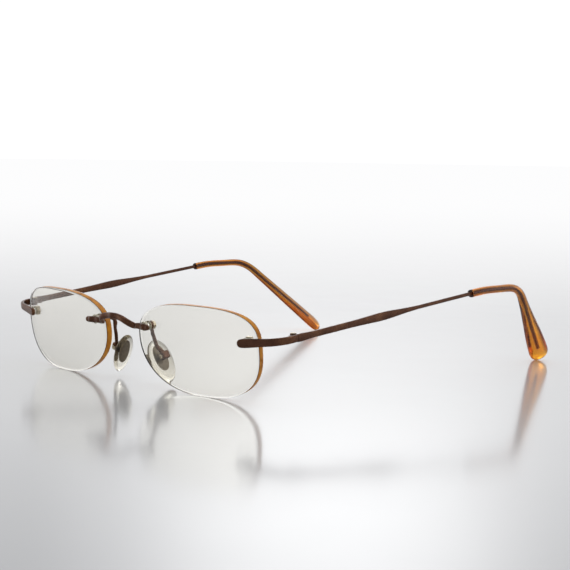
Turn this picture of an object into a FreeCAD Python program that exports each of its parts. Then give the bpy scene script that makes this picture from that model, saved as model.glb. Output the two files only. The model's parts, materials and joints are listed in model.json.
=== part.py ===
"""Rimless eyeglasses: two drilled lenses, bridge, endpieces, folding temples and rocking nose pads.

Frame: millimetres, +Z up, front towards -Y, +X towards the wearer's left.  The glasses stand open on
a flat surface at Z = 0, on the lower rims of the lenses and the ends of the temple tips.  The origin is
the middle of the footprint.  The left half is built first and the right half is its mirror image in the
YZ plane.
"""
import FreeCAD, Part
import math
import os
from FreeCAD import Placement, Rotation, Vector

os.makedirs("parts", exist_ok=True)
doc = FreeCAD.newDocument("rimless_eyeglasses")

X_AXIS = Vector(1, 0, 0)
Y_AXIS = Vector(0, 1, 0)
Z_AXIS = Vector(0, 0, 1)

# ---------------------------------------------------------------- driving dimensions (mm and degrees)
DIMENSIONS = [
    # lenses: the outline is four superellipse quarters about one centre
    ("lens_pole_x", 37.05), ("lens_pole_y", -68.8), ("lens_pole_z", 14.18),
    ("lens_wrap", 8.2), ("lens_tilt", 7.1), ("lens_base_radius", 117.0), ("lens_thickness", 1.9),
    ("outline_centre_u", -4.5), ("outline_centre_v", 1.2), ("reach_outer", 22.6), ("reach_nose", 24.45),
    ("reach_up", 11.1), ("reach_down", 15.6), ("power_up_outer", 3.0), ("power_up_nose", 2.4),
    ("power_down_nose", 2.15), ("power_down_outer", 2.7),
    # lens mounts: studs through plastic bushings and washers, dome nuts behind
    ("outer_hole_u", 14.1), ("outer_hole_v", 3.25), ("nose_hole_u", -25.2), ("nose_hole_v", 4.3),
    ("stud_radius", 0.6), ("bushing_radius", 0.95), ("stud_depth", 0.6), ("stud_in_nut", 0.8),
    ("washer_radius", 1.4), ("washer_thickness", 0.28), ("nose_spacer", 0.85), ("outer_nut_radius", 1.6),
    ("nose_nut_radius", 1.35), ("nut_height", 0.85), ("nut_dome", 0.4), ("dome_share", 0.86),
    ("seat_gap", 0.01), ("drill_overrun", 1.0),
    # endpieces and bridge
    ("bar_thickness", 1.1), ("bar_height", 2.45), ("bar_height_knee", 2.25), ("bar_height_hinge", 2.1),
    ("bar_overhang", 2.4), ("bar_rise", 5.1), ("bar_past_hinge", 0.6), ("knee_distance", 11.8),
    ("knee_radius", 6.0), ("hinge_distance", 6.2), ("lens_edge_distance", 7.0),
    ("bridge_thickness", 1.1), ("bridge_plate_height", 1.9), ("bridge_plate_reach", 3.3),
    ("bridge_neck", 1.7), ("arch_height", 1.9), ("arch_depth", 1.5), ("arch_y", -73.5), ("arch_z", 21.05),
    # hinges
    ("hinge_inset", 1.6), ("barrel_radius", 0.95), ("barrel_stack", 2.3), ("barrel_middle", 0.9),
    ("barrel_gap", 0.03), ("leaf_length", 3.2), ("endpiece_leaf_length", 2.4), ("leaf_thickness", 0.5),
    ("leaf_height", 1.6), ("leaf_clearance", 0.12), ("lug_start", 0.15), ("lug_thickness", 0.75),
    ("hinge_pin_radius", 0.45), ("pin_clearance", 0.03), ("pin_head_radius", 0.8),
    ("pin_head_height", 0.22), ("screw_slot", 0.22),
    # temples: a gentle bend where the tip starts, then the bend over the ear
    ("temple_rise", 6.2), ("temple_splay", 1.85), ("wire_radius", 0.58), ("blade_start", -0.6),
    ("blade_end", 52.0), ("ease_corner", 82.0), ("ease_radius", 60.0), ("ease_bend", 7.0),
    ("ear_distance", 18.8), ("ear_radius", 14.0), ("ear_bend", 43.4), ("ear_roll", 22.6),
    ("ear_length", 42.76), ("tip_start", 75.2), ("core_stop", 7.3), ("core_clearance", 0.02),
    # nose pads
    ("pad_x", 9.95), ("pad_y", -61.4), ("pad_z", 7.45), ("pad_flare", 27.0), ("pad_lean", 9.0),
    ("pad_turn", 11.0), ("pad_length", 13.6), ("pad_width", 7.3), ("pad_thickness", 2.2),
    ("pad_taper", 0.12), ("insert_rise", 1.0), ("insert_length", 8.1), ("insert_width", 3.9),
    ("insert_thickness", 0.6), ("box_offset", 2.9), ("box_size", 2.4), ("box_round", 0.5),
    ("box_slot", 1.1), ("box_wall", 0.5), ("tang_clearance", 0.05), ("tang_radius", 0.6),
    ("pad_screw_radius", 0.4), ("pad_screw_head", 0.7), ("pad_screw_head_height", 0.35),
    ("arm_ring", 0.8), ("arm_radius", 0.55),
]
sheet = doc.addObject("Spreadsheet::Sheet", "Dimensions")
for row, (alias, value) in enumerate(DIMENSIONS, start=1):
    sheet.set("A%d" % row, alias)
    sheet.set("B%d" % row, str(value))
    sheet.setAlias("B%d" % row, alias)
doc.recompute()


def dim(alias):
    """The value of one driving dimension, read from the sheet."""
    return float(sheet.get(alias))


def bind(obj, **properties):
    """Bind properties of a document object to expressions over the sheet's cells."""
    for name, formula in properties.items():
        words = formula.replace("{", "Dimensions.").replace("}", "")
        obj.setExpression(name, words)


# ---------------------------------------------------------------- frames
def turn(axis, degrees):
    return Rotation(axis, degrees)


def at(x=0.0, y=0.0, z=0.0, rotation=None):
    return Placement(Vector(x, y, z), rotation or Rotation())


lens_frame = at(dim("lens_pole_x"), dim("lens_pole_y"), dim("lens_pole_z"),
                turn(Z_AXIS, dim("lens_wrap")) * turn(X_AXIS, dim("lens_tilt")))


def hole_frame(u, v):
    """Frame of a lens hole: origin on the front surface, +Z through the lens to the back, +X outwards."""
    radius = dim("lens_base_radius")
    lean = -math.asin(v / radius)
    sweep = math.asin(u / (radius * math.cos(lean)))
    about_centre = turn(Z_AXIS, math.degrees(sweep)) * turn(X_AXIS, math.degrees(lean))
    local = at(0, radius, 0) * Placement(Vector(), about_centre) * at(0, -radius, 0)
    return lens_frame * local * Placement(Vector(), turn(X_AXIS, -90))


outer_hole = hole_frame(dim("outer_hole_u"), dim("outer_hole_v"))
nose_hole = hole_frame(dim("nose_hole_u"), dim("nose_hole_v"))

# The endpiece bar runs along the lens, turns at its knee and ends at the hinge, where the temple starts.
bar_seat = dim("washer_thickness") + dim("bar_thickness") / 2
bar_rise = math.radians(dim("bar_rise"))
bar_direction = outer_hole.Rotation.multVec(Vector(math.cos(bar_rise), -math.sin(bar_rise), 0))
bar_at_hole = outer_hole.multVec(Vector(0, 0, -bar_seat))
knee_point = bar_at_hole + bar_direction * dim("knee_distance")
temple_turn = turn(Z_AXIS, -dim("temple_splay")) * turn(X_AXIS, dim("temple_rise"))
temple_direction = temple_turn.multVec(Y_AXIS)
hinge_frame = Placement(knee_point + temple_direction * dim("hinge_distance"), temple_turn)
# The pin stands upright although the temple climbs, so the tips stay at floor level as the temples fold.
barrel_frame = hinge_frame * at(-dim("hinge_inset"), 0, 0, turn(X_AXIS, -dim("temple_rise")))

# Pad frame: +X out of the pad's back towards its box, +Y to the rear, +Z up along the pad.
pad_lean = turn(Y_AXIS, -dim("pad_flare")) * turn(X_AXIS, dim("pad_lean"))
pad_frame = at(dim("pad_x"), dim("pad_y"), dim("pad_z"), pad_lean * turn(Z_AXIS, -dim("pad_turn")))
pad_hinge_frame = pad_frame * at(dim("box_offset"), 0, dim("insert_rise"))


# ---------------------------------------------------------------- geometry helpers
def unit_superellipse(angle, power):
    """Point of the unit superellipse on the ray at an angle."""
    c, s = math.cos(angle), math.sin(angle)
    reach = (abs(c) ** power + abs(s) ** power) ** (-1 / power)
    return reach * c, reach * s


def superellipse(reach_x, reach_y, power, count=24, turned=0.0):
    """Points of a closed superellipse, optionally turned in its own plane."""
    points = []
    ca, sa = math.cos(turned), math.sin(turned)
    for i in range(count):
        angle = 2 * math.pi * i / count
        x, y = unit_superellipse(angle, power)
        x, y = x * reach_x, y * reach_y
        points.append(Vector(x * ca - y * sa, x * sa + y * ca, 0))
    return points


def closed_curve(points):
    curve = Part.BSplineCurve()
    curve.interpolate(Points=points, PeriodicFlag=True)
    return curve


def origin_plane(body, role):
    return next(f for f in body.Origin.OriginFeatures if f.Role == role)


def new_body(label, placement=None):
    body = doc.addObject("PartDesign::Body", label)
    body.Label = label
    if placement:
        body.Placement = placement
    return body


def new_sketch(body, role="XY_Plane", offset=None):
    sketch = body.newObject("Sketcher::SketchObject", body.Name + "_sketch")
    sketch.AttachmentSupport = [(origin_plane(body, role), "")]
    sketch.MapMode = "FlatFace"
    if offset:
        sketch.AttachmentOffset = offset
    return sketch


def section_placement(point, tangent, up):
    side = tangent.cross(up)
    side.normalize()
    true_up = side.cross(tangent)
    return Placement(point, Rotation(side, true_up, tangent * -1, "ZYX"))


def loft(body, stations):
    """Loft through closed sections; a station is (point, tangent, up, width, height, power, twist)."""
    sketches = []
    for point, tangent, up, width, height, power, twist in stations:
        sketch = new_sketch(body, offset=section_placement(point, tangent, up))
        outline = superellipse(width / 2, height / 2, power, turned=math.radians(twist))
        sketch.addGeometry(closed_curve(outline))
        sketches.append(sketch)
    feature = body.newObject("PartDesign::AdditiveLoft", body.Name + "_loft")
    feature.Profile = sketches[0]
    feature.Sections = sketches[1:]
    return feature


class RoundedPath:
    """Straight runs between points, with every corner rounded by a tangent arc."""

    def __init__(self, points, radii):
        self.pieces = []
        self.length = 0.0
        position = points[0]
        for i, radius in enumerate(radii, start=1):
            before = (points[i] - points[i - 1]).normalize()
            after = (points[i + 1] - points[i]).normalize()
            turning = before.getAngle(after)
            setback = radius * math.tan(turning / 2)
            arc_start = points[i] - before * setback
            inward = (after - before * after.dot(before)).normalize()
            self.add_piece(position, before, (arc_start - position).Length)
            self.add_piece(arc_start, before, radius * turning, inward, radius)
            position = points[i] + after * setback
        last = points[-1] - position
        self.add_piece(position, last.normalize(), (points[-1] - position).Length)

    def add_piece(self, point, direction, length, inward=None, radius=None):
        """Append a straight piece, or an arc that turns towards inward."""
        self.pieces.append((self.length, self.length + length, point, direction, inward, radius))
        self.length += length

    def at(self, s):
        """Point and unit tangent at distance s along the path."""
        reached = [piece for piece in self.pieces if piece[0] <= s] or self.pieces[:1]
        start, _, point, direction, inward, radius = reached[-1]
        if radius is None:
            return point + direction * (s - start), direction
        angle = (s - start) / radius
        along = direction * math.sin(angle) + inward * (1 - math.cos(angle))
        tangent = direction * math.cos(angle) + inward * math.sin(angle)
        return point + along * radius, tangent


def boolean(kind, label, base, tool):
    obj = doc.addObject("Part::" + kind, label)
    obj.Base = base
    obj.Tool = tool
    obj.Label = label
    return obj


def cylinder(name, placement, start, **sizes):
    """Cylinder along the placement's +Z from height start; Radius and Height are formulas."""
    obj = doc.addObject("Part::Cylinder", name)
    obj.Placement = placement * at(0, 0, start)
    bind(obj, **sizes)
    return obj


def block(name, placement, corner, size):
    obj = doc.addObject("Part::Box", name)
    obj.Length, obj.Width, obj.Height = size
    obj.Placement = placement * at(*corner)
    return obj


def mirrored(source, label):
    obj = doc.addObject("Part::Mirroring", label)
    obj.Source = source
    obj.Base = Vector(0, 0, 0)
    obj.Normal = X_AXIS
    obj.Label = label
    return obj


parts = []


def keep_pair(left, stem):
    """Name the left-hand piece and add its mirror image as the right-hand one."""
    left.Label = stem + "_left"
    parts.append(left)
    parts.append(mirrored(left, stem + "_right"))


# ---------------------------------------------------------------- lenses
def lens_outline():
    """Outline of the lens in its own plane, from four superellipse quarters."""
    centre = Vector(dim("outline_centre_u"), dim("outline_centre_v"), 0)
    points = []
    count = 48
    for i in range(count):
        angle = 2 * math.pi * i / count
        c, s = math.cos(angle), math.sin(angle)
        reach_u = dim("reach_outer") if c >= 0 else dim("reach_nose")
        reach_v = dim("reach_up") if s >= 0 else dim("reach_down")
        side = "outer" if c >= 0 else "nose"
        height = "up" if s >= 0 else "down"
        power = dim("power_%s_%s" % (height, side))
        x, y = unit_superellipse(angle, power)
        points.append(centre + Vector(x * reach_u, y * reach_v, 0))
    return points


def make_lens():
    """Slab with the lens outline, kept between two concentric spheres and drilled for its two mounts."""
    blank_depth = 30
    blank = new_body("lens_blank", lens_frame)
    sketch = new_sketch(blank, "XZ_Plane")
    sketch.addGeometry(closed_curve(lens_outline()))
    pad = blank.newObject("PartDesign::Pad", "lens_blank_pad")
    pad.Profile = sketch
    pad.Length = blank_depth
    pad.Midplane = True
    spheres = []
    for name, radius in (("lens_front", "{lens_base_radius}"),
                         ("lens_back", "{lens_base_radius} - {lens_thickness}")):
        sphere = doc.addObject("Part::Sphere", name)
        sphere.Placement = lens_frame * at(0, dim("lens_base_radius"), 0)
        bind(sphere, Radius=radius)
        spheres.append(sphere)
    domed = boolean("Common", "lens_domed", blank, spheres[0])
    shell = boolean("Cut", "lens_solid", domed, spheres[1])
    for name, frame in (("outer", outer_hole), ("nose", nose_hole)):
        drill = cylinder("lens_drill_" + name, frame, -dim("drill_overrun"), Radius="{bushing_radius}",
                         Height="{lens_thickness} + 2 * {drill_overrun}")
        shell = boolean("Cut", "lens_drilled_" + name, shell, drill)
    keep_pair(shell, "lens")


# ---------------------------------------------------------------- lens mounts
def ring(label, frame, start, outer, inner, height):
    body = cylinder(label + "_blank", frame, start, Radius=outer, Height=height)
    hole = cylinder(label + "_hole", frame, start - dim("drill_overrun"), Radius=inner,
                    Height=height + " + 2 * {drill_overrun}")
    return boolean("Cut", label, body, hole)


def make_nut(label, frame, start, radius):
    """Hexagonal nut with a domed end; its blind thread holds the end of the stud."""
    prism = doc.addObject("Part::Prism", label + "_hexagon")
    prism.Polygon = 6
    prism.Placement = frame * at(0, 0, start)
    bind(prism, Circumradius="{%s}" % radius, Height="{nut_height}")
    dome = doc.addObject("Part::Sphere", label + "_dome")
    dome_base = dim(radius) * dim("dome_share")
    dome_radius = (dome_base ** 2 + dim("nut_dome") ** 2) / (2 * dim("nut_dome"))
    dome.Radius = dome_radius
    dome.Placement = frame * at(0, 0, start + dim("nut_height") + dim("nut_dome") - dome_radius)
    column = cylinder(label + "_column", frame, start, Radius="{%s} * {dome_share}" % radius,
                      Height="{nut_height} + {nut_dome}")
    cap = boolean("Common", label + "_cap", column, dome)
    whole = boolean("Fuse", label + "_whole", prism, cap)
    thread = cylinder(label + "_thread", frame, start - dim("drill_overrun"), Radius="{stud_radius}",
                      Height="{stud_in_nut} + {drill_overrun}")
    return boolean("Cut", label, whole, thread)


def make_mount(side, frame, front, behind):
    """One lens mount: front is its spacer, behind is what the nut clamps past the rear washer."""
    gap = dim("seat_gap")
    back = dim("lens_thickness")
    spacer = ring("spacer_" + side, frame, -front, "{washer_radius}", "{stud_radius}", str(front - gap))
    keep_pair(spacer, side + "_front_washer")
    bushing = ring("bushing_" + side, frame, gap, "{bushing_radius}", "{stud_radius}",
                   "{lens_thickness} - 2 * {seat_gap}")
    keep_pair(bushing, side + "_bushing")
    washer = ring("rear_washer_" + side, frame, back + gap, "{washer_radius}", "{stud_radius}",
                  "{washer_thickness}")
    keep_pair(washer, side + "_rear_washer")
    nut_start = back + gap + dim("washer_thickness") + behind
    keep_pair(make_nut("nut_" + side, frame, nut_start, side + "_nut_radius"), side + "_nut")
    length = nut_start + dim("stud_in_nut") + front + dim("stud_depth")
    stud = cylinder("stud_" + side, frame, -front - dim("stud_depth"), Radius="{stud_radius}",
                    Height=str(length))
    keep_pair(stud, side + "_stud")


def stud_socket(label, piece, frame, front):
    """Flat seat in the back of a bar for its washer, with the blind hole in which the stud is brazed."""
    seat = cylinder(label + "_seat", frame, -front, Radius="{washer_radius} + 2 * {seat_gap}",
                    Height="{washer_thickness} * 2")
    socket = cylinder(label + "_socket", frame, -front - dim("stud_depth"), Radius="{stud_radius}",
                      Height="{stud_depth} + {washer_thickness}")
    tools = boolean("Fuse", label + "_tools", seat, socket)
    return boolean("Cut", label, piece, tools)


# ---------------------------------------------------------------- endpieces
def trimmed_at_hinge(label, bar, low_y):
    """Cut a bar off square at the hinge, from low_y along the hinge frame's Y."""
    room = 4
    depth = 6
    trim = block(label + "_trim", barrel_frame, (-room, low_y, -room), (3 * room, depth, 2 * room))
    return boolean("Cut", label + "_trimmed", bar, trim)


def make_endpiece():
    """Bar that starts as a rounded nose on the lens, turns at its knee and ends at the hinge."""
    to_local = hinge_frame.inverse()
    start = to_local.multVec(bar_at_hole - bar_direction * dim("bar_overhang"))
    knee = to_local.multVec(knee_point)
    path = RoundedPath([start, knee, Vector(0, dim("bar_past_hinge"), 0)], [dim("knee_radius")])
    thick, tall = dim("bar_thickness"), dim("bar_height")
    knee_tall, hinge_tall = dim("bar_height_knee"), dim("bar_height_hinge")
    nose = [(0.03, 0.55, 0.22), (0.12, 0.75, 0.42), (0.35, 0.92, 0.69), (0.75, 1.0, 0.92),
            (1.2, 1.0, 1.0)]
    rows = [(s, thick * t, tall * h) for s, t, h in nose]
    edge = dim("lens_edge_distance")
    rows.extend([(edge - 1.5, thick, tall), (edge + 0.8, thick, (tall + knee_tall) / 2)])
    arc_start, arc_end = path.pieces[1][:2]
    steps = 5
    for i in range(steps + 1):
        share = i / steps
        rows.append((arc_start + (arc_end - arc_start) * share, thick,
                     knee_tall + (hinge_tall - knee_tall) * share))
    rows.append((path.length, thick, hinge_tall))
    body = new_body("endpiece_bar", hinge_frame)
    stations = []
    for s, width, height in rows:
        point, tangent = path.at(s)
        stations.append((point, tangent, Z_AXIS, width, height, 4.0, 0.0))
    loft(body, stations)
    bar = trimmed_at_hinge("endpiece", body, -dim("barrel_gap"))
    bar = stud_socket("endpiece_socketed", bar, outer_hole, dim("washer_thickness"))
    keep_pair(bar, "endpiece")
    return bar


# ---------------------------------------------------------------- hinges
def make_leaf(stem, bar, length, rear_side, spans):
    """Leaf brazed inside a bar, with a barrel and lug for every (low, high) span of heights on the pin.

    rear_side is True on the temple, behind the pin, and False on the endpiece, in front of it.
    """
    radius = dim("barrel_radius")
    inset = dim("hinge_inset") - dim("bar_thickness") / 2
    near = radius + dim("leaf_clearance")
    thick, tall = dim("leaf_thickness"), dim("leaf_height")
    low_y = near if rear_side else -length
    pieces = [block(stem + "_plate", barrel_frame, (inset - thick, low_y, -tall / 2),
                    (thick - dim("seat_gap"), length - near, tall))]
    lug_overlap = 0.2
    for i, (low, high) in enumerate(spans):
        lug_y = 0 if rear_side else -near - lug_overlap
        pieces.append(block("%s_lug_%d" % (stem, i), barrel_frame, (dim("lug_start"), lug_y, low),
                            (dim("lug_thickness"), near + lug_overlap, high - low)))
        pieces.append(cylinder("%s_barrel_%d" % (stem, i), barrel_frame, low, Radius="{barrel_radius}",
                               Height=str(high - low)))
    whole = doc.addObject("Part::MultiFuse", stem + "_fused")
    whole.Shapes = pieces
    bore = cylinder(stem + "_bore", barrel_frame, -dim("barrel_stack"),
                    Radius="{hinge_pin_radius} + {pin_clearance}", Height="2 * {barrel_stack}")
    leaf = boolean("Cut", stem + "_bored", whole, bore)
    keep_pair(boolean("Cut", stem + "_fitted", leaf, bar), stem)


def make_hinges(endpiece, temple):
    """Three barrels on one slotted screw: the middle one belongs to the temple."""
    half = dim("barrel_stack") / 2
    middle = dim("barrel_middle") / 2
    gap = dim("barrel_gap")
    outer_spans = [(-half, -middle - gap), (middle + gap, half)]
    make_leaf("endpiece_hinge", endpiece, dim("endpiece_leaf_length"), False, outer_spans)
    make_leaf("temple_hinge", temple, dim("leaf_length"), True, [(-middle, middle)])
    shank = cylinder("hinge_shank", barrel_frame, -half, Radius="{hinge_pin_radius}",
                     Height="{barrel_stack} + {seat_gap}")
    head = cylinder("hinge_head", barrel_frame, half + dim("seat_gap"), Radius="{pin_head_radius}",
                    Height="{pin_head_height}")
    screw = boolean("Fuse", "hinge_screw_whole", shank, head)
    slot = dim("screw_slot")
    slot_floor = half + dim("pin_head_height") / 2
    groove = block("hinge_screw_slot", barrel_frame, (-1, -slot / 2, slot_floor), (2, slot, 1))
    keep_pair(boolean("Cut", "hinge_screw_slotted", screw, groove), "hinge_screw")


# ---------------------------------------------------------------- temples
ear_roll = math.radians(dim("ear_roll"))
ear_side = Vector(-math.sin(ear_roll), 0, -math.cos(ear_roll))


def bent_direction(degrees):
    """Direction of the temple once it has turned by an angle towards the ear."""
    angle = math.radians(degrees)
    return Y_AXIS * math.cos(angle) + ear_side * math.sin(angle)


ease_corner = Vector(0, dim("ease_corner"), 0)
ear_corner = ease_corner + bent_direction(dim("ease_bend")) * dim("ear_distance")
ear_end = ear_corner + bent_direction(dim("ease_bend") + dim("ear_bend")) * dim("ear_length")
temple_path = RoundedPath([Vector(0, 0, 0), ease_corner, ear_corner, ear_end],
                          [dim("ease_radius"), dim("ear_radius")])


def path_sketch(body, start, stop):
    """Sketch of the temple's centre line from one distance to another, in the plane of the ear bend."""
    plane = Placement(Vector(), Rotation(Y_AXIS, ear_side, Y_AXIS.cross(ear_side), "ZXY"))
    sketch = new_sketch(body, offset=plane)

    def flat(s):
        point = temple_path.at(s)[0]
        return Vector(point.dot(Y_AXIS), point.dot(ear_side), 0)

    for piece_start, piece_end, _, _, _, radius in temple_path.pieces:
        low, high = max(piece_start, start), min(piece_end, stop)
        if radius is None:
            sketch.addGeometry(Part.LineSegment(flat(low), flat(high)))
        else:
            sketch.addGeometry(Part.Arc(flat(low), flat((low + high) / 2), flat(high)))
    return sketch


def wire_pipe(body, kind, radius, start, stop):
    """Round wire, added or cut, along the temple's centre line."""
    profile = new_sketch(body, "XZ_Plane", at(0, 0, -start))
    profile.addGeometry(Part.Circle(Vector(), Z_AXIS, radius))
    spine = path_sketch(body, start, stop)
    feature = body.newObject("PartDesign::" + kind, body.Name + "_wire")
    feature.Profile = profile
    feature.Spine = (spine, ["Edge%d" % (i + 1) for i in range(len(temple_path.pieces))])
    return feature


def make_temple():
    """Flat blade that swells, then draws down to the round wire that carries the tip."""
    wire = 2 * dim("wire_radius")
    blade = [(dim("blade_start"), 1.1, 2.1, 4), (4, 1.1, 2.05, 4), (11, 1.05, 1.9, 4), (22, 1.0, 1.95, 4),
             (28, 1.0, 2.2, 4), (33.6, 1.0, 2.5, 4), (37.5, 1.0, 2.35, 3.6), (41.5, 1.02, 1.9, 3.2),
             (45.5, 1.08, 1.5, 2.6), (49, 1.12, 1.26, 2.2), (dim("blade_end"), wire, wire, 2)]
    body = new_body("temple_blade", hinge_frame)
    loft(body, [(Vector(0, s, 0), Y_AXIS, Z_AXIS, w, t, p, 0.0) for s, w, t, p in blade])
    wire_end = temple_path.length - dim("core_stop")
    wire_pipe(body, "AdditivePipe", dim("wire_radius"), dim("blade_end"), wire_end)
    temple = trimmed_at_hinge("temple", body, dim("barrel_gap") - 6)
    keep_pair(temple, "temple")
    return temple


def make_tip():
    """Moulded sleeve over the wire: round at its mouth, then a broad, rounded paddle behind the ear."""
    total = temple_path.length
    first = dim("tip_start")
    rows = [(first, 2.3, 2.3, 0), (first + 0.2, 2.45, 2.45, 0), (first + 0.8, 2.5, 2.5, 0),
            (first + 2.4, 2.5, 2.5, 0), (first + 6, 2.45, 2.45, 0), (first + 11, 2.4, 2.42, 4),
            (first + 16, 2.35, 2.4, 10), (first + 20, 2.35, 2.45, 16), (first + 24, 2.4, 2.55, 22),
            (first + 27, 2.42, 2.65, 27), (first + 30, 2.45, 2.85, 32), (first + 33, 2.5, 3.1, 37),
            (first + 37, 2.55, 3.5, 43), (first + 41, 2.65, 4.05, 48), (first + 46, 2.8, 4.8, 52),
            (first + 51, 2.9, 5.6, 55), (first + 56, 3.0, 6.3, 57), (total - 6, 3.05, 6.8, 57),
            (total - 3.6, 3.0, 6.75, 57), (total - 1.9, 2.7, 6.0, 57), (total - 0.8, 2.2, 4.6, 57),
            (total - 0.25, 1.5, 3.0, 57), (total - 0.03, 0.8, 1.5, 57)]
    core_end_gap = 0.3
    body = new_body("tip_sleeve", hinge_frame)
    stations = []
    for s, width, height, twist in rows:
        point, tangent = temple_path.at(s)
        stations.append((point, tangent, Z_AXIS, width, height, 2.2, -twist))
    stations.reverse()
    loft(body, stations)
    wire_pipe(body, "SubtractivePipe", dim("wire_radius") + dim("core_clearance"),
              first - dim("drill_overrun"), total - dim("core_stop") + core_end_gap)
    keep_pair(body, "temple_tip")


# ---------------------------------------------------------------- bridge
def make_bridge():
    """Arch over the nose with a flattened plate at each end, one in front of each lens."""
    seat = -(dim("nose_spacer") + dim("bridge_thickness") / 2)
    reach = dim("bridge_plate_reach")
    plate, tall, neck = dim("bridge_thickness"), dim("bridge_plate_height"), dim("bridge_neck")
    arch, deep = dim("arch_height"), dim("arch_depth")

    def on_plate(x, rise=0.0):
        return nose_hole.multVec(Vector(x, -rise, seat))

    half = [
        (on_plate(reach), plate * 0.5, tall * 0.2, 2.5),
        (on_plate(reach - 0.15), plate * 0.8, tall * 0.5, 3),
        (on_plate(reach - 0.6), plate, tall * 0.82, 3.5),
        (on_plate(reach - 1.4), plate, tall, 4),
        (on_plate(0), plate, tall, 4), (on_plate(-1.6), plate, tall * 0.95, 4),
        (on_plate(-2.9, -0.15), plate * 1.05, neck, 3),
        (on_plate(-4.1, -0.2), deep * 0.9, neck * 1.08, 2.6),
        (Vector(6.3, dim("arch_y") + 0.75, dim("arch_z") - 1.45), deep, arch, 2.6),
        (Vector(3.2, dim("arch_y") + 0.3, dim("arch_z") - 0.3), deep, arch, 2.6),
    ]
    crown = [(Vector(0, dim("arch_y"), dim("arch_z")), deep, arch, 2.6)]
    other = [(Vector(-p.x, p.y, p.z), w, t, n) for p, w, t, n in reversed(half)]
    rows = half + crown + other
    stations = []
    for i, (point, width, height, power) in enumerate(rows):
        before = rows[max(i - 1, 0)][0]
        after = rows[min(i + 1, len(rows) - 1)][0]
        stations.append((point, (after - before).normalize(), Z_AXIS, width, height, power, 0.0))
    body = new_body("bridge_bar")
    loft(body, stations)
    bridge = stud_socket("bridge_left_socket", body, nose_hole, dim("nose_spacer"))
    other_socket = mirrored(doc.getObject("bridge_left_socket_tools"), "bridge_right_socket")
    bridge = boolean("Cut", "bridge", bridge, other_socket)
    parts.append(bridge)


# ---------------------------------------------------------------- nose pads
def make_pad_arm():
    """Ring under the nose-side nut and a wire that drops to the pad box."""
    start = dim("lens_thickness") + dim("seat_gap") + dim("washer_thickness")
    eye = ring("arm_eye", nose_hole, start, "{nose_nut_radius} - 0.05", "{stud_radius}", "{arm_ring}")
    width = 2 * dim("arm_radius")

    def near_box(out, front, rise):
        return pad_frame.multVec(Vector(dim("box_offset") + out, -front, dim("insert_rise") + rise))

    box_end = near_box(0.1, 0.0, dim("box_size") / 2 - 0.1)
    bend = near_box(-0.3, 1.1, 2.9)
    root = start + dim("arm_radius") + 2 * dim("seat_gap")
    shoulder = nose_hole.multVec(Vector(-2.8, 1.0, root + 1.8))
    points = [nose_hole.multVec(Vector(-0.95, -0.1, root)),
              nose_hole.multVec(Vector(-1.9, 0.0, root + 0.3)),
              nose_hole.multVec(Vector(-2.6, 0.3, root + 1.0)), shoulder]
    for share in (0.3, 0.6, 0.85):
        points.append(shoulder + (bend - shoulder) * share)
    points.extend([near_box(-0.1, 0.7, 1.9), box_end])
    body = new_body("arm_wire")
    stations = []
    for i, point in enumerate(points):
        before = points[max(i - 1, 0)]
        after = points[min(i + 1, len(points) - 1)]
        stations.append((point, (after - before).normalize(), Y_AXIS, width, width, 2, 0.0))
    loft(body, stations)
    whole = boolean("Fuse", "arm_whole", eye, body)
    drill = cylinder("arm_drill", nose_hole, start - dim("drill_overrun"), Radius="{stud_radius}",
                     Height="{arm_ring} + 2 * {drill_overrun}")
    relief = cylinder("arm_relief", nose_hole, start + dim("arm_ring"),
                      Radius="{nose_nut_radius} + 3 * {seat_gap}", Height="{nut_height} + 2 * {nut_dome}")
    tools = boolean("Fuse", "arm_tools", drill, relief)
    return boolean("Cut", "arm_drilled", whole, tools)


def make_pad_box():
    """Small clevis at the end of the pad arm; the pad's tang sits in its slot on a screw along Y."""
    size, slot, wall = dim("box_size"), dim("box_slot"), dim("box_wall")
    overrun = dim("drill_overrun")
    outer = block("box_blank", pad_hinge_frame, (-size / 2, -size / 2, -size / 2), (size, size, size))
    rounded = doc.addObject("Part::Fillet", "box_rounded")
    rounded.Base = outer
    doc.recompute()
    rounding = dim("box_round")
    rounded.Edges = [(i + 1, rounding, rounding) for i in range(len(outer.Shape.Edges))]
    gap = block("box_gap", pad_hinge_frame, (-size / 2 - overrun, -slot / 2, -size / 2 - overrun),
                (size - wall + overrun, slot, size + 2 * overrun))
    clevis = boolean("Cut", "box_slotted", rounded, gap)
    lying = pad_hinge_frame * at(0, 0, 0, turn(X_AXIS, -90))
    bore = cylinder("box_bore", lying, -size, Radius="{pad_screw_radius}", Height="2 * {box_size}")
    box = boolean("Cut", "box_bored", clevis, bore)
    keep_pair(box, "pad_box")
    seat = -size / 2 - 2 * dim("seat_gap")
    cap = dim("pad_screw_head_height")
    shank = cylinder("pad_screw_shank", lying, seat, Radius="{pad_screw_radius}", Height="{box_size}")
    head = cylinder("pad_screw_cap", lying, seat - cap, Radius="{pad_screw_head}",
                    Height="{pad_screw_head_height}")
    screw = boolean("Fuse", "pad_screw_whole", shank, head)
    slot_width = dim("screw_slot")
    notch = block("pad_screw_slot", lying, (-1, -slot_width / 2, seat - cap / 2 - 1), (2, slot_width, 1))
    keep_pair(boolean("Cut", "pad_screw_slotted", screw, notch), "pad_screw")
    return rounded


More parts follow.
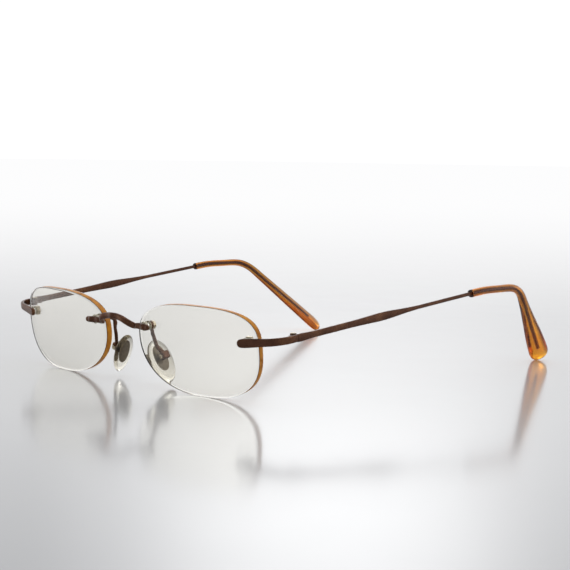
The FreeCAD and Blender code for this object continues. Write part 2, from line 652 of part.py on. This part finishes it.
def make_pad():
    """Clear teardrop pad moulded round a metal insert whose tang hangs in the pad box."""
    insert_frame = pad_frame * at(0, 0, dim("insert_rise"))
    plate = new_body("insert_plate", insert_frame)
    sketch = new_sketch(plate, "YZ_Plane", at(0, 0, -dim("insert_thickness") / 2))
    sketch.addGeometry(closed_curve(superellipse(dim("insert_width") / 2, dim("insert_length") / 2, 2.1)))
    pad = plate.newObject("PartDesign::Pad", "insert_pad")
    pad.Profile = sketch
    bind(pad, Length="{insert_thickness}")
    tang_width = dim("box_slot") - 2 * dim("tang_clearance")
    radius = dim("tang_radius")
    tang = block("insert_tang", insert_frame, (0, -tang_width / 2, -radius),
                 (dim("box_offset"), tang_width, 2 * radius))
    lying = pad_hinge_frame * at(0, 0, 0, turn(X_AXIS, -90))
    eye = cylinder("insert_eye", lying, -tang_width / 2, Radius=str(radius), Height=str(tang_width))
    whole = doc.addObject("Part::MultiFuse", "insert_whole")
    whole.Shapes = [plate, tang, eye]
    bore = cylinder("insert_bore", lying, -dim("box_size"), Radius="{pad_screw_radius} + {pin_clearance}",
                    Height="2 * {box_size}")
    insert = boolean("Cut", "insert_bored", whole, bore)
    keep_pair(insert, "pad_insert")

    cushion = new_body("pad_cushion", pad_frame)
    length, width, thick = dim("pad_length"), dim("pad_width"), dim("pad_thickness")
    profile = ((-0.5, 0.80), (-0.42, 0.93), (-0.2, 0.995), (0.1, 1.0), (0.34, 0.95), (0.46, 0.87),
               (0.5, 0.80))
    count = 32
    sketches = []
    for share, grow in profile:
        sketch = new_sketch(cushion, "YZ_Plane", at(0, 0, share * thick))
        edge = 0.5 * (1 - grow) * width
        outline = []
        for i in range(count):
            angle = 2 * math.pi * i / count
            y = math.cos(angle) * (width / 2 - edge) * (1 + dim("pad_taper") * math.sin(angle))
            z = math.sin(angle) * (length / 2 - edge)
            outline.append(Vector(y, z, 0))
        sketch.addGeometry(closed_curve(outline))
        sketches.append(sketch)
    feature = cushion.newObject("PartDesign::AdditiveLoft", "pad_loft")
    feature.Profile = sketches[0]
    feature.Sections = sketches[1:]
    keep_pair(boolean("Cut", "pad_moulded", cushion, insert), "nose_pad")


# ---------------------------------------------------------------- assembly
make_lens()
make_mount("outer", outer_hole, dim("washer_thickness"), 0.0)
make_mount("nose", nose_hole, dim("nose_spacer"), dim("arm_ring"))
endpiece_bar = make_endpiece()
temple_bar = make_temple()
make_hinges(endpiece_bar, temple_bar)
make_tip()
make_bridge()
arm_bar = make_pad_arm()
box_outside = make_pad_box()
keep_pair(boolean("Cut", "arm_fitted", arm_bar, box_outside), "pad_arm")
make_pad()
doc.recompute()

for obj in doc.Objects:
    faults = [state for state in obj.State if state in ("Invalid", "Error")]
    if faults:
        raise RuntimeError("%s: %s" % (obj.Label, faults))
box = FreeCAD.BoundBox()
for part in parts:
    if part.Shape.isNull() or not part.Shape.isValid():
        raise RuntimeError(part.Label + " has no valid shape")
    box.add(part.Shape.BoundBox)
for part in parts:
    part.Shape.exportStep("parts/%s.step" % part.Label)
    print("%-24s solids %d  volume %8.3f" % (part.Label, len(part.Shape.Solids), part.Shape.Volume))
print(len(parts), "parts; box", box)
print("hinge axis point", barrel_frame.Base, "direction", barrel_frame.Rotation.multVec(Z_AXIS))
print("pad axis point", pad_hinge_frame.Base, "direction", pad_hinge_frame.Rotation.multVec(Y_AXIS))
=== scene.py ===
"""Rimless eyeglasses on a pale glossy floor.

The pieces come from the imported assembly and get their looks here. The two lenses and the two nose pads are
built again as smooth shells. Their sizes are in millimetres; the floor, lamps and noise are in metres.
"""
import bmesh
import bpy
import json
import math
from mathutils import Matrix, Vector


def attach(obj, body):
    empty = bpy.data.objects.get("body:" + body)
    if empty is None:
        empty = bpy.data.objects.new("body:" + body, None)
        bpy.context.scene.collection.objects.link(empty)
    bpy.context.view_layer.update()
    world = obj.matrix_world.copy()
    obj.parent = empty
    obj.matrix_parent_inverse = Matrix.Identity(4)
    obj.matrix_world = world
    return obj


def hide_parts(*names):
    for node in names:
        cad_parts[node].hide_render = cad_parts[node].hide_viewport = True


MM = 0.001
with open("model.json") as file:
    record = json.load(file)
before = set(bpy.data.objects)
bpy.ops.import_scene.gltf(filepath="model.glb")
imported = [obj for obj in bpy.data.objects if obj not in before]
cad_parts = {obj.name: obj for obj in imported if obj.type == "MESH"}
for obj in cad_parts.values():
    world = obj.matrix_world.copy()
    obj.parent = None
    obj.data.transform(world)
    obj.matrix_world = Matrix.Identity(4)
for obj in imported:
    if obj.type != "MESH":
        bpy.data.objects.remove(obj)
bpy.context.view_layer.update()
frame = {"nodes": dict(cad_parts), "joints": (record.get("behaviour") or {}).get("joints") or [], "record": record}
nodes = frame["nodes"]
joints = {joint["name"]: joint for joint in frame["joints"]}
scene = bpy.context.scene


# ---------------------------------------------------------------- camera
CAMERA_PLACE = Vector((329.1, -330.5, 69.2)) * MM
CAMERA_AZIMUTH = 44.89
CAMERA_ELEVATION = 5.27
CAMERA_ROLL = 0.82
CAMERA_FOCAL = 87.7
CAMERA_SENSOR = 36.0
CAMERA_CLIP = (0.01, 60.0)


def make_camera():
    """Camera at its place, turned by azimuth and elevation and rolled a little."""
    azimuth = math.radians(CAMERA_AZIMUTH)
    elevation = math.radians(CAMERA_ELEVATION)
    roll = math.radians(CAMERA_ROLL)
    level = Vector((math.cos(azimuth), math.sin(azimuth), 0))
    flat_back = Vector((math.sin(azimuth), -math.cos(azimuth), 0))
    back = flat_back * math.cos(elevation) + Vector((0, 0, math.sin(elevation)))
    upward = back.cross(level)
    right = level * math.cos(roll) + upward * math.sin(roll)
    up = back.cross(right)
    data = bpy.data.cameras.new("camera")
    data.lens = CAMERA_FOCAL
    data.sensor_width = CAMERA_SENSOR
    data.clip_start, data.clip_end = CAMERA_CLIP
    camera = bpy.data.objects.new("camera", data)
    facing = Matrix((right, up, back)).transposed().to_4x4()
    camera.matrix_world = Matrix.Translation(CAMERA_PLACE) @ facing
    scene.collection.objects.link(camera)
    scene.camera = camera


# ---------------------------------------------------------------- node helpers
NOISE_ROUGHNESS = 0.55


def new_material(name):
    """A material with its Principled shader; returns the material, the tree and the shader."""
    material = bpy.data.materials.new(name)
    material.use_nodes = True
    tree = material.node_tree
    return material, tree, tree.nodes["Principled BSDF"]


def set_values(node, values):
    """Gives a node's sockets their fixed values, by name."""
    for name, value in values.items():
        node.inputs[name].default_value = value


def coordinates(tree, kind):
    """Texture coordinates of a kind, such as Object."""
    return tree.nodes.new("ShaderNodeTexCoord").outputs[kind]


def separated(tree, vector):
    """The X, Y and Z sockets of a vector."""
    node = tree.nodes.new("ShaderNodeSeparateXYZ")
    tree.links.new(vector, node.inputs["Vector"])
    return node.outputs


def calculate(tree, kind, operation, *operands):
    """Outputs of a Math or VectorMath node; an operand is a socket or a fixed value."""
    node = tree.nodes.new("ShaderNode" + kind)
    node.operation = operation
    for socket, operand in zip(node.inputs, operands):
        if isinstance(operand, bpy.types.NodeSocket):
            tree.links.new(operand, socket)
        else:
            socket.default_value = operand
    return node.outputs


def object_noise(tree, scale, detail=4.0, stretch=(1, 1, 1)):
    """Noise over the object's own coordinates, in features per metre."""
    mapping = tree.nodes.new("ShaderNodeMapping")
    noise = tree.nodes.new("ShaderNodeTexNoise")
    set_values(mapping, {"Scale": stretch})
    set_values(noise, {"Scale": scale, "Detail": detail, "Roughness": NOISE_ROUGHNESS})
    tree.links.new(coordinates(tree, "Object"), mapping.inputs["Vector"])
    tree.links.new(mapping.outputs["Vector"], noise.inputs["Vector"])
    return noise.outputs["Fac"]


def grey(level):
    """Colour with three equal parts."""
    return level, level, level


def ramp(tree, source, stops):
    """Colour ramp over a source; a stop is (position, colour)."""
    node = tree.nodes.new("ShaderNodeValToRGB")
    elements = node.color_ramp.elements
    while len(elements) < len(stops):
        elements.new(0.5)
    for element, (position, colour) in zip(elements, stops):
        element.position = position
        element.color = (*colour, 1)
    tree.links.new(source, node.inputs["Fac"])
    return node.outputs["Color"]


def map_range(tree, source, start, end, low, high, interpolation="LINEAR"):
    """A source over start..end mapped to low..high."""
    node = tree.nodes.new("ShaderNodeMapRange")
    node.interpolation_type = interpolation
    set_values(node, {"From Min": start, "From Max": end, "To Min": low, "To Max": high})
    tree.links.new(source, node.inputs["Value"])
    return node.outputs["Result"]


def vary_roughness(tree, shader, source, low, high):
    """Roughness that follows a source in 0..1 from low to high."""
    tree.links.new(map_range(tree, source, 0, 1, low, high), shader.inputs["Roughness"])


def add_bump(tree, shader, source, height, strength):
    """Bump of a height in millimetres."""
    bump = tree.nodes.new("ShaderNodeBump")
    set_values(bump, {"Strength": strength, "Distance": height * MM})
    tree.links.new(source, bump.inputs["Height"])
    tree.links.new(bump.outputs["Normal"], shader.inputs["Normal"])


def mix_shaders(tree, factor, first, second):
    """Shader that goes from first to second as the factor goes from 0 to 1."""
    mix = tree.nodes.new("ShaderNodeMixShader")
    for source, socket in zip((factor, first, second), mix.inputs):
        tree.links.new(source, socket)
    return mix.outputs["Shader"]


def show(tree, surface):
    """Makes a shader the surface of the material."""
    tree.links.new(surface, tree.nodes["Material Output"].inputs["Surface"])


def let_lamps_through(tree, surface, tint):
    """Lamp rays pass the clear piece with a tint, so that it throws a pale shadow."""
    path = tree.nodes.new("ShaderNodeLightPath")
    clear = tree.nodes.new("ShaderNodeBsdfTransparent")
    set_values(clear, {"Color": (*tint, 1)})
    show(tree, mix_shaders(tree, path.outputs["Is Shadow Ray"], surface, clear.outputs["BSDF"]))


def paint_edge_shade(tree, shader, colour, edge, starts):
    """Painted shade: the tint goes from colour to a darker edge colour where the surface turns away from the view,
    past a share of the way.
    """
    turning = tree.nodes.new("ShaderNodeLayerWeight")
    set_values(turning, {"Blend": 0.5})
    mix = tree.nodes.new("ShaderNodeMix")
    mix.data_type = "RGBA"
    set_values(mix, {"B": (*edge, 1)})
    reach = map_range(tree, turning.outputs["Facing"], starts, 1, 0, 1, "SMOOTHSTEP")
    tree.links.new(reach, mix.inputs["Factor"])
    tree.links.new(colour, mix.inputs["A"])
    tree.links.new(mix.outputs["Result"], shader.inputs["Base Color"])


def add_absorption(tree, colour, density):
    """The inside of the piece takes up light, by its density per metre, and leaves the colour."""
    volume = tree.nodes.new("ShaderNodeVolumeAbsorption")
    set_values(volume, {"Color": (*colour, 1), "Density": density})
    tree.links.new(volume.outputs["Volume"], tree.nodes["Material Output"].inputs["Volume"])


# ---------------------------------------------------------------- materials
LENS_IOR = 1.5


def brown_metal():
    """Satin chocolate lacquer over metal, a little thinner and more bronze in patches."""
    material, tree, shader = new_material("brown_metal")
    patches = object_noise(tree, 260, 5.0)
    colour = ramp(tree, patches, [(0.30, (0.080, 0.030, 0.014)), (0.55, (0.125, 0.050, 0.024)),
                                  (0.78, (0.215, 0.095, 0.042))])
    tree.links.new(colour, shader.inputs["Base Color"])
    grain = object_noise(tree, 5200, 3.0, (1, 0.25, 1))
    vary_roughness(tree, shader, grain, 0.20, 0.34)
    set_values(shader, {"Metallic": 0.75, "Coat Weight": 0.10, "Coat Roughness": 0.22})
    add_bump(tree, shader, grain, 0.01, 0.35)
    return material


def bright_metal():
    """Worn plating, yellowed in patches, on nuts, studs and screws."""
    material, tree, shader = new_material("bright_metal")
    wear = object_noise(tree, 1400)
    colour = ramp(tree, wear, [(0.35, (0.46, 0.37, 0.24)), (0.6, (0.72, 0.65, 0.52)),
                               (0.8, (0.82, 0.78, 0.68))])
    tree.links.new(colour, shader.inputs["Base Color"])
    vary_roughness(tree, shader, wear, 0.16, 0.36)
    set_values(shader, {"Metallic": 1.0})
    add_bump(tree, shader, wear, 0.02, 0.25)
    return material


def insert_metal():
    """Dull brushed nickel of the plates moulded into the pads."""
    material, tree, shader = new_material("insert_metal")
    brushed = object_noise(tree, 2600, 4.0, (1, 1, 0.12))
    colour = ramp(tree, brushed, [(0.3, (0.14, 0.105, 0.07)), (0.7, (0.30, 0.245, 0.17))])
    tree.links.new(colour, shader.inputs["Base Color"])
    vary_roughness(tree, shader, brushed, 0.35, 0.55)
    set_values(shader, {"Metallic": 0.9})
    add_bump(tree, shader, brushed, 0.02, 0.3)
    return material


def washer_plastic():
    """Pale yellowed nylon that lets some light through, slightly hazed."""
    material, tree, shader = new_material("washer_plastic")
    vary_roughness(tree, shader, object_noise(tree, 2400, 3.0), 0.08, 0.22)
    set_values(shader, {"Base Color": (0.95, 0.89, 0.72, 1), "Transmission Weight": 0.4, "IOR": 1.5})
    let_lamps_through(tree, shader.outputs["BSDF"], (0.9, 0.9, 0.86))
    return material


def tip_plastic():
    """Glossy amber acetate, redder in streaks that run along the tip and browner over its sleeve, with painted
    shade that darkens it towards its outline.
    """
    material, tree, shader = new_material("tip_plastic")
    streaks = object_noise(tree, 240, 3.0, (1, 0.35, 0.6))
    amber = ramp(tree, streaks, [(0.34, (0.84, 0.42, 0.05)), (0.52, (0.94, 0.56, 0.09)),
                                 (0.72, (1.0, 0.70, 0.15))])
    along = separated(tree, coordinates(tree, "Generated"))["Y"]
    sleeve = ramp(tree, along, [(0.0, (0.66, 0.46, 0.30)), (0.40, (0.76, 0.58, 0.40)), (0.75, grey(1.0))])
    colour = calculate(tree, "VectorMath", "MULTIPLY", amber, sleeve)["Vector"]
    # Painted shade: dark red-brown towards the outline where the tip turns away from the view.
    paint_edge_shade(tree, shader, colour, (0.46, 0.14, 0.02), 0.68)
    vary_roughness(tree, shader, object_noise(tree, 1800), 0.05, 0.14)
    set_values(shader, {"Transmission Weight": 1.0, "Specular IOR Level": 0.3, "IOR": 1.48})
    add_bump(tree, shader, object_noise(tree, 420, 2.0), 0.02, 0.25)
    add_absorption(tree, (0.86, 0.56, 0.04), 420.0)
    let_lamps_through(tree, shader.outputs["BSDF"], (0.85, 0.52, 0.22))
    return material


def clear_pad():
    """Clear silicone, yellowed a little, with a soft skin and painted shade that darkens it towards its outline.
    """
    material, tree, shader = new_material("clear_pad")
    skin = object_noise(tree, 1500)
    vary_roughness(tree, shader, skin, 0.06, 0.20)
    colour = ramp(tree, object_noise(tree, 320, 3.0), [(0.3, (0.92, 0.90, 0.83)), (0.7, (0.98, 0.97, 0.93))])
    # Painted shade: grey-brown towards the outline where the pad turns away from the view.
    paint_edge_shade(tree, shader, colour, (0.34, 0.28, 0.21), 0.60)
    set_values(shader, {"Transmission Weight": 1.0, "IOR": 1.36})
    add_bump(tree, shader, skin, 0.02, 0.3)
    add_absorption(tree, (0.80, 0.74, 0.58), 150.0)
    let_lamps_through(tree, shader.outputs["BSDF"], (0.84, 0.83, 0.77))
    return material


def lens_absorption(tree):
    """The faint tint through the thickness of the lens, the same under its glass and its rim."""
    add_absorption(tree, (0.94, 0.86, 0.62), 85.0)


def lens_glass():
    """Clear plastic lens, faintly warm; polished, with a trace of haze."""
    material, tree, shader = new_material("lens_glass")
    vary_roughness(tree, shader, object_noise(tree, 90, 3.0), 0.0, 0.012)
    set_values(shader, {"Base Color": (0.985, 0.985, 0.975, 1), "Specular IOR Level": 0.2,
                        "Transmission Weight": 1.0, "IOR": LENS_IOR})
    lens_absorption(tree)
    let_lamps_through(tree, shader.outputs["BSDF"], (0.93, 0.93, 0.90))
    return material


def painted_amber_rim():
    """Satin amber edge of the lens from outside, where the amber is painted light standing in for light tinted on
    its long way through the lens; from inside the lens it is clear and lets light out.
    """
    material, tree, shader = new_material("painted_amber_rim")
    streaks = object_noise(tree, 420)
    # Painted light: the amber stands in for light tinted on its long way through the lens.
    colour = ramp(tree, streaks, [(0.35, (0.50, 0.165, 0.008)), (0.65, (0.82, 0.33, 0.022))])
    tree.links.new(colour, shader.inputs["Base Color"])
    vary_roughness(tree, shader, streaks, 0.22, 0.36)
    set_values(shader, {"Specular IOR Level": 0.3})
    add_bump(tree, shader, object_noise(tree, 3800, 3.0), 0.01, 0.3)
    inside = tree.nodes.new("ShaderNodeBsdfRefraction")
    set_values(inside, {"Color": (0.86, 0.80, 0.70, 1), "Roughness": 0.2, "IOR": LENS_IOR})
    backfacing = tree.nodes.new("ShaderNodeNewGeometry").outputs["Backfacing"]
    both = mix_shaders(tree, backfacing, shader.outputs["BSDF"], inside.outputs["BSDF"])
    lens_absorption(tree)
    let_lamps_through(tree, both, (0.80, 0.62, 0.40))
    return material


# ---------------------------------------------------------------- mesh helpers
def turned(axis, degrees):
    """Rotation about an axis."""
    return Matrix.Rotation(math.radians(degrees), 4, axis)


def aimed(place, direction, forward):
    """Matrix that stands at a place with its forward axis along a direction."""
    return Matrix.Translation(place) @ direction.to_track_quat(forward, "Y").to_matrix().to_4x4()


def shell_object(name, rings, front_pole, back_pole, materials):
    """Closed mesh through rings of equal count, from the front pole to the back pole."""
    count = len(rings[0])
    points = [point for ring in rings for point in ring]
    last = len(points) - count
    front, back = len(points), len(points) + 1
    points += [front_pole, back_pole]
    faces = []
    for start in range(0, last, count):
        for i in range(count):
            j = (i + 1) % count
            faces.append((start + i, start + j, start + count + j, start + count + i))
    for i in range(count):
        j = (i + 1) % count
        faces.append((front, j, i))
        faces.append((back, last + i, last + j))
    mesh = bpy.data.meshes.new(name)
    mesh.from_pydata([tuple(point * MM) for point in points], [], faces)
    for material in materials:
        mesh.materials.append(material)
    mesh.validate()
    mesh.shade_smooth()
    piece = bpy.data.objects.new(name, mesh)
    scene.collection.objects.link(piece)
    return piece


def settle(piece, place, sign):
    """Moves the mesh to its place on the left half and mirrors it across the nose where sign is negative."""
    piece.data.transform(place)
    if sign < 0:
        piece.data.transform(Matrix.Scale(-1, 4, (1, 0, 0)))
        piece.data.flip_normals()


# ---------------------------------------------------------------- lenses
# The lens is a shell between two spheres about one centre. Its outline has four superellipse quarters about
# OUTLINE_CENTRE, seen from the front; the outline and the holes are measured from the lens pole.
LENS_POLE = Vector((37.05, -68.8, 14.18))
LENS_WRAP = 8.2
LENS_TILT = 7.1
LENS_RADIUS = 117.0
LENS_THICKNESS = 1.9
LENS_BEVEL = 0.20
BEVEL_ROUNDING = 0.25
OUTLINE_CENTRE = (-4.5, 1.2)
REACH_OUTER, REACH_NOSE, REACH_UP, REACH_DOWN = 22.6, 24.45, 11.1, 15.6
POWERS = {("up", "outer"): 3.0, ("up", "nose"): 2.4, ("down", "nose"): 2.15, ("down", "outer"): 2.7}
OUTLINE_COUNT = 240
LENS_RINGS = 14
LENS_SHARP_ANGLE = 24
HOLES = ((14.1, 3.25), (-25.2, 4.3))
HOLE_RADIUS = 0.96
DRILL_LENGTH = 8.0
DRILL_SIDES = 40


def unit_superellipse(angle, power):
    """Point at an angle on the superellipse that reaches 1 along each axis."""
    c, s = math.cos(angle), math.sin(angle)
    reach = (abs(c) ** power + abs(s) ** power) ** (-1 / power)
    return reach * c, reach * s


def lens_outline():
    """Points (u, v) of the outline, a full turn from the outer end."""
    points = []
    for i in range(OUTLINE_COUNT):
        angle = 2 * math.pi * i / OUTLINE_COUNT
        side, reach_x = ("outer", REACH_OUTER) if math.cos(angle) >= 0 else ("nose", REACH_NOSE)
        height, reach_y = ("up", REACH_UP) if math.sin(angle) >= 0 else ("down", REACH_DOWN)
        x, y = unit_superellipse(angle, POWERS[height, side])
        points.append((OUTLINE_CENTRE[0] + x * reach_x, OUTLINE_CENTRE[1] + y * reach_y))
    return points


def on_sphere(u, v, depth):
    """Point of the lens at (u, v), depth below its front face."""
    radius = LENS_RADIUS - depth
    return Vector((u, LENS_RADIUS - math.sqrt(radius * radius - u * u - v * v), v))


def drill(piece):
    """Cuts the mount holes square to the front face with the Boolean modifier and keeps the result."""
    centre = Vector((0, LENS_RADIUS, 0))
    for u, v in HOLES:
        tool = bmesh.new()
        bmesh.ops.create_cone(tool, cap_ends=True, segments=DRILL_SIDES, radius1=HOLE_RADIUS * MM,
                              radius2=HOLE_RADIUS * MM, depth=DRILL_LENGTH * MM)
        mesh = bpy.data.meshes.new("drill")
        tool.to_mesh(mesh)
        tool.free()
        cutter = bpy.data.objects.new("drill", mesh)
        scene.collection.objects.link(cutter)
        point = on_sphere(u, v, 0)
        cutter.matrix_world = aimed(point * MM, (centre - point).normalized(), "Z")
        cut = piece.modifiers.new("hole", "BOOLEAN")
        cut.operation = "DIFFERENCE"
        cut.solver = "EXACT"
        cut.object = cutter
        bpy.context.view_layer.update()
        evaluated = piece.evaluated_get(bpy.context.evaluated_depsgraph_get())
        drilled = bpy.data.meshes.new_from_object(evaluated)
        piece.modifiers.clear()
        piece.data = drilled
        bpy.data.objects.remove(cutter)


def make_lens(side, sign, glass, rim):
    """Bevelled and drilled lens, glass all over except for the flat band of its edge, which shows the painted
    amber light of the rim from outside.
    """
    outline = lens_outline()
    centre_u, centre_v = OUTLINE_CENTRE
    back = LENS_THICKNESS

    def ring(share, inset, depth):
        """The outline shrunk to a share and moved in by an inset, depth below the front face."""
        points = []
        for u, v in outline:
            du, dv = u - centre_u, v - centre_v
            scale = share * (1 - inset / math.hypot(du, dv))
            points.append(on_sphere(centre_u + du * scale, centre_v + dv * scale, depth))
        return points

    softened = BEVEL_ROUNDING * LENS_BEVEL
    shares = [math.sqrt(k / LENS_RINGS) for k in range(1, LENS_RINGS)] + [1]
    front_rings = [ring(share, LENS_BEVEL, 0) for share in shares] + [ring(1, softened, softened)]
    band_rings = [ring(1, 0, LENS_BEVEL), ring(1, 0, back - LENS_BEVEL)]
    back_rings = [ring(1, softened, back - softened)]
    back_rings += [ring(share, LENS_BEVEL, back) for share in reversed(shares)]
    front_pole, back_pole = (on_sphere(centre_u, centre_v, depth) for depth in (0, back))
    piece = shell_object("lens_glass_" + side, front_rings + band_rings + back_rings, front_pole, back_pole,
                         [glass, rim])
    # The edge band takes the rim material with its painted amber light.
    first = len(front_rings) * OUTLINE_COUNT
    for face in piece.data.polygons[first:first + OUTLINE_COUNT]:
        face.material_index = 1
    drill(piece)
    settle(piece, Matrix.Translation(LENS_POLE * MM) @ turned("Z", LENS_WRAP) @ turned("X", LENS_TILT), sign)
    piece.data.shade_smooth()
    piece.data.set_sharp_from_angle(angle=math.radians(LENS_SHARP_ANGLE))
    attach(piece, "front")
    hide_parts("lens_" + side)


# ---------------------------------------------------------------- nose pads
PAD_FLARE = 27.0
PAD_LEAN = 9.0
PAD_TURN = 11.0
PAD_LENGTH = 13.6
PAD_WIDTH = 7.3
PAD_THICKNESS = 2.2
PAD_TAPER = 0.12
PAD_BOX_OFFSET = 2.9
PAD_INSERT_RISE = 1.0
# The thickness stays near its full value up to the edge (high power) and then rounds off (low rounding).
PAD_EDGE_POWER = 5
PAD_EDGE_ROUNDING = 0.45
PAD_CROWN = 0.12
PAD_DISH = 0.86
PAD_DISH_RIM = 0.10
PAD_COUNT = 72
PAD_RINGS = 20


def make_pad(side, sign, silicone):
    """Crowned teardrop pad: thick in its middle, round at its edge and slightly dished behind."""
    turning = turned("Y", -PAD_FLARE) @ turned("X", PAD_LEAN) @ turned("Z", -PAD_TURN)
    axis_point = Vector(joints["pad_left_rock"]["pos_m"])
    start = axis_point - (turning @ Vector((PAD_BOX_OFFSET, 0, PAD_INSERT_RISE))) * MM
    half = PAD_THICKNESS / 2

    def outline(share, out):
        """The teardrop shrunk to a share, out from the middle plane."""
        points = []
        for i in range(PAD_COUNT):
            angle = 2 * math.pi * i / PAD_COUNT
            across = math.cos(angle) * PAD_WIDTH / 2 * (1 + PAD_TAPER * math.sin(angle))
            points.append(Vector((out, across * share, math.sin(angle) * PAD_LENGTH / 2 * share)))
        return points

    def level(share):
        """Half thickness at a share of the way from the middle to the edge."""
        return half * (1 - share ** PAD_EDGE_POWER) ** PAD_EDGE_ROUNDING

    shares = [math.sin(math.pi / 2 * k / PAD_RINGS) for k in range(1, PAD_RINGS + 1)]
    front = [outline(share, -level(share) * (1 - PAD_CROWN * share ** 2)) for share in shares]
    behind = [outline(share, level(share) * (PAD_DISH + PAD_DISH_RIM * share ** 2))
              for share in reversed(shares[:-1])]
    piece = shell_object("pad_silicone_" + side, front + behind, Vector((-half, 0, 0)),
                         Vector((PAD_DISH * half, 0, 0)), [silicone])
    settle(piece, Matrix.Translation(start) @ turning, sign)
    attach(piece, "pad_" + side)
    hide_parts("nose_pad_" + side)


# ---------------------------------------------------------------- carried-over nodes
def dress_nodes(looks):
    """Gives every carried-over node the look of its material slot."""
    slots = {part["node"]: part["material_slot"] for part in frame["record"]["subparts"]}
    for name, piece in nodes.items():
        if slots[name] in looks:
            piece.material_slots[0].material = looks[slots[name]]


# ---------------------------------------------------------------- floor and light
FLOOR_SIZE = 30.0
FADE_START = 0.15
FADE_END = 1.9
BACKDROP_WHITE = (0.98, 0.98, 0.985)
GLOW_TOWARDS = Vector((-0.6805, 0.7328, 0))
# Cosines to the glow between which the dim side eases into the glow's side.
GLOW_SIDE = (-0.4, 0.5)
DIM_SIDE = 0.50


def towards_glow(tree, direction, low):
    """How far a direction, taken level, points towards the glow: as a cosine, and as a share.

    The share is 1 on the glow's side and eases down to low on the opposite side.
    """
    flat = calculate(tree, "VectorMath", "MULTIPLY", direction, (1, 1, 0))["Vector"]
    level = calculate(tree, "VectorMath", "NORMALIZE", flat)["Vector"]
    towards = calculate(tree, "VectorMath", "DOT_PRODUCT", level, GLOW_TOWARDS)["Value"]
    return towards, map_range(tree, towards, *GLOW_SIDE, low, 1, "SMOOTHSTEP")


def make_floor():
    """Pale polished table, faintly mottled, that runs out into the white backdrop on the glow's side."""
    material, tree, shader = new_material("floor")
    mottle = object_noise(tree, 3.0, 5.0)
    colour = ramp(tree, mottle, [(0.3, (0.560, 0.560, 0.565)), (0.7, (0.600, 0.600, 0.603))])
    tree.links.new(colour, shader.inputs["Base Color"])
    vary_roughness(tree, shader, object_noise(tree, 40.0), 0.12, 0.16)
    place = coordinates(tree, "Object")
    distance = calculate(tree, "VectorMath", "LENGTH", place)["Value"]
    log_distance = calculate(tree, "Math", "LOGARITHM", distance, 10.0)["Value"]
    fade = map_range(tree, log_distance, math.log10(FADE_START), math.log10(FADE_END), 0, 1, "SMOOTHSTEP")
    side = towards_glow(tree, place, 0.0)[1]
    share = calculate(tree, "Math", "MULTIPLY", fade, side)["Value"]
    backdrop = tree.nodes.new("ShaderNodeEmission")
    set_values(backdrop, {"Color": (*BACKDROP_WHITE, 1)})
    show(tree, mix_shaders(tree, share, shader.outputs["BSDF"], backdrop.outputs["Emission"]))
    half = FLOOR_SIZE / 2
    corners = [(-half, -half, 0), (half, -half, 0), (half, half, 0), (-half, half, 0)]
    mesh = bpy.data.meshes.new("floor")
    mesh.from_pydata(corners, [], [(0, 1, 2, 3)])
    mesh.materials.append(material)
    floor = bpy.data.objects.new("floor", mesh)
    scene.collection.objects.link(floor)


def soft_box(name, place, target, width, height, power):
    """Rectangular area lamp aimed at a target and unseen by the camera."""
    data = bpy.data.lights.new(name, "AREA")
    data.shape = "RECTANGLE"
    data.size = width
    data.size_y = height
    data.energy = power
    lamp = bpy.data.objects.new(name, data)
    lamp.matrix_world = aimed(Vector(place), Vector(target) - Vector(place), "-Z")
    lamp.visible_camera = False
    scene.collection.objects.link(lamp)


def make_light():
    """White backdrop that dims overhead and away from the glow, with soft boxes above and beside."""
    world = bpy.data.worlds.new("studio")
    world.use_nodes = True
    scene.world = world
    tree = world.node_tree
    direction = coordinates(tree, "Generated")
    height = separated(tree, direction)["Z"]
    backdrop = ramp(tree, height, [(0.0, (1.03, 1.03, 1.04)), (0.10, (1.05, 1.05, 1.06)),
                                   (0.19, (1.12, 1.12, 1.13)), (0.31, (0.74, 0.75, 0.77)),
                                   (0.52, (0.60, 0.61, 0.63)), (1.0, (0.46, 0.47, 0.49))])
    towards, side = towards_glow(tree, direction, DIM_SIDE)
    dimmed = calculate(tree, "VectorMath", "MULTIPLY", backdrop, side)["Vector"]
    across = ramp(tree, towards, [(0.978, grey(0.0)), (0.990, grey(0.30)), (0.9955, grey(0.70)),
                                  (0.9990, grey(1.0))])
    upwards = ramp(tree, height, [(0.10, grey(0.0)), (0.17, grey(0.50)), (0.27, grey(2.2)), (0.37, grey(2.0)),
                                  (0.50, grey(0.0))])
    glow = calculate(tree, "VectorMath", "MULTIPLY_ADD", across, upwards, dimmed)["Vector"]
    tree.links.new(glow, tree.nodes["Background"].inputs["Color"])
    soft_box("top_light", place=(0.1, 0.0, 1.2), target=(0, 0, 0), width=1.4, height=1.4, power=4.2)
    soft_box("side_light", place=(0.9, 0.35, 0.55), target=(0, 0, 0.02), width=0.5, height=0.6, power=1.2)


def set_render():
    """Plain view transform, and enough bounces for light to leave the lenses, pads and tips."""
    scene.view_settings.view_transform = "Standard"
    scene.cycles.use_denoising = True
    scene.cycles.max_bounces = 64
    scene.cycles.transmission_bounces = 64
    scene.cycles.glossy_bounces = 8
    scene.cycles.transparent_max_bounces = 16


# ---------------------------------------------------------------- build
make_camera()
make_floor()
make_light()
glass_look = lens_glass()
painted_rim_look = painted_amber_rim()
silicone_look = clear_pad()
dress_nodes({"brown_metal": brown_metal(), "bright_metal": bright_metal(), "insert_metal": insert_metal(),
             "washer_plastic": washer_plastic(), "tip_plastic": tip_plastic()})
for wearer_side, mirror_sign in (("left", 1), ("right", -1)):
    make_lens(wearer_side, mirror_sign, glass_look, painted_rim_look)
    make_pad(wearer_side, mirror_sign, silicone_look)
set_render()
